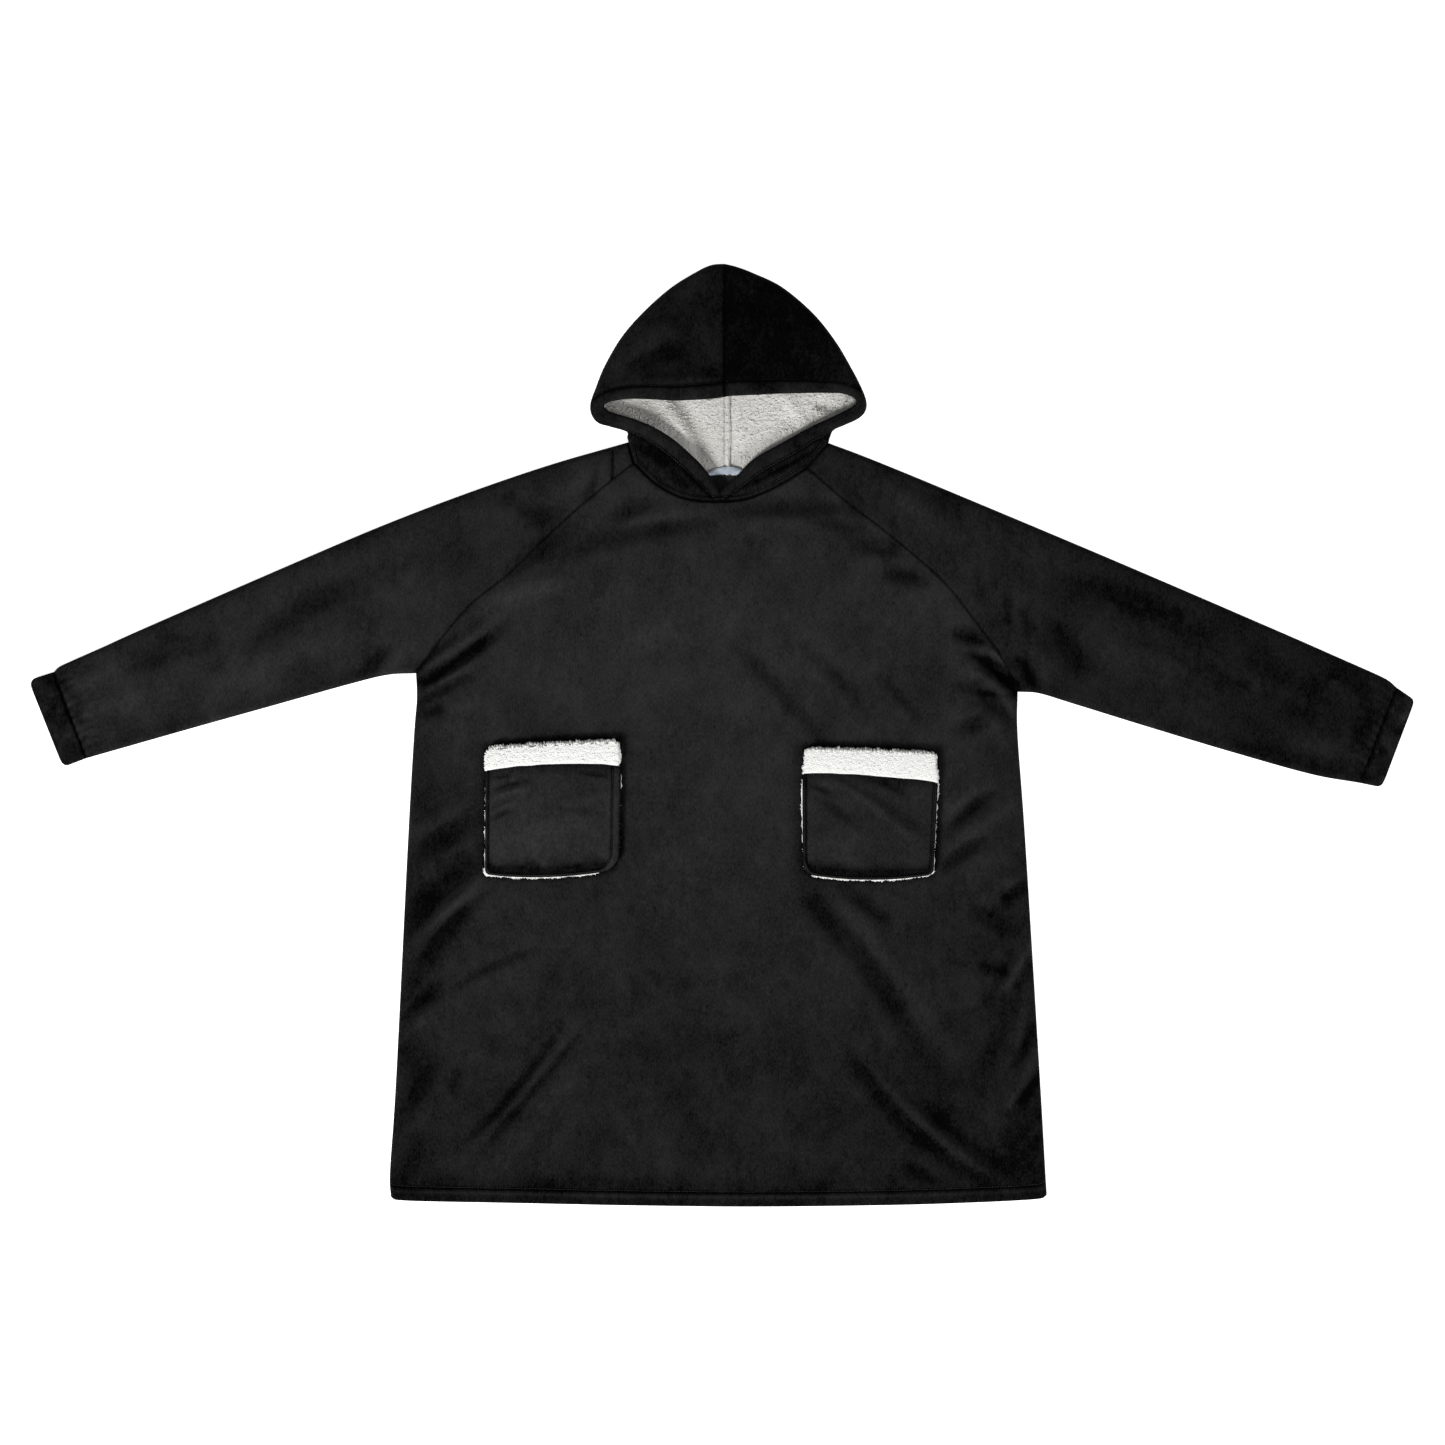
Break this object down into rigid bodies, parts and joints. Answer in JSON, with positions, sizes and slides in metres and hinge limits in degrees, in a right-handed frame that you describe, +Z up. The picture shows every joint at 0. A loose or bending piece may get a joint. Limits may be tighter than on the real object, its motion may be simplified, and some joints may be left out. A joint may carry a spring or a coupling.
{
  "type": "wearable blanket hoodie",
  "caption": "Hooded raglan blanket garment laid flat on its back, with sherpa-lined hood, patch pockets and sewn-on cuffs.",
  "frame": {"origin": "middle of the garment's outline on the surface that it lies on", "axes": "+X towards the sleeve on the right of a viewer who looks down on the front, +Y from the hem to the hood, +Z up off the surface"},
  "size_m": [1.728, 1.178, 0.0298],
  "materials": {
    "flannel": "black flannel fleece with a short brushed nap",
    "sherpa": "white sherpa pile in small soft curls",
    "label": "pale satin tape, bare"
  },
  "bodies": {
    "root": {"front_panel": "flannel", "back_panel": "flannel", "sleeve_left": "flannel", "sleeve_right": "flannel", "cuff_left": "flannel", "cuff_right": "flannel", "hood_left": "flannel", "hood_right": "flannel", "hood_lining_left": "sherpa", "hood_lining_right": "sherpa", "pocket_left": "flannel", "pocket_right": "flannel", "pocket_lining_left": "sherpa", "pocket_lining_right": "sherpa", "neck_label": "label"}
  },
  "joints": []
}
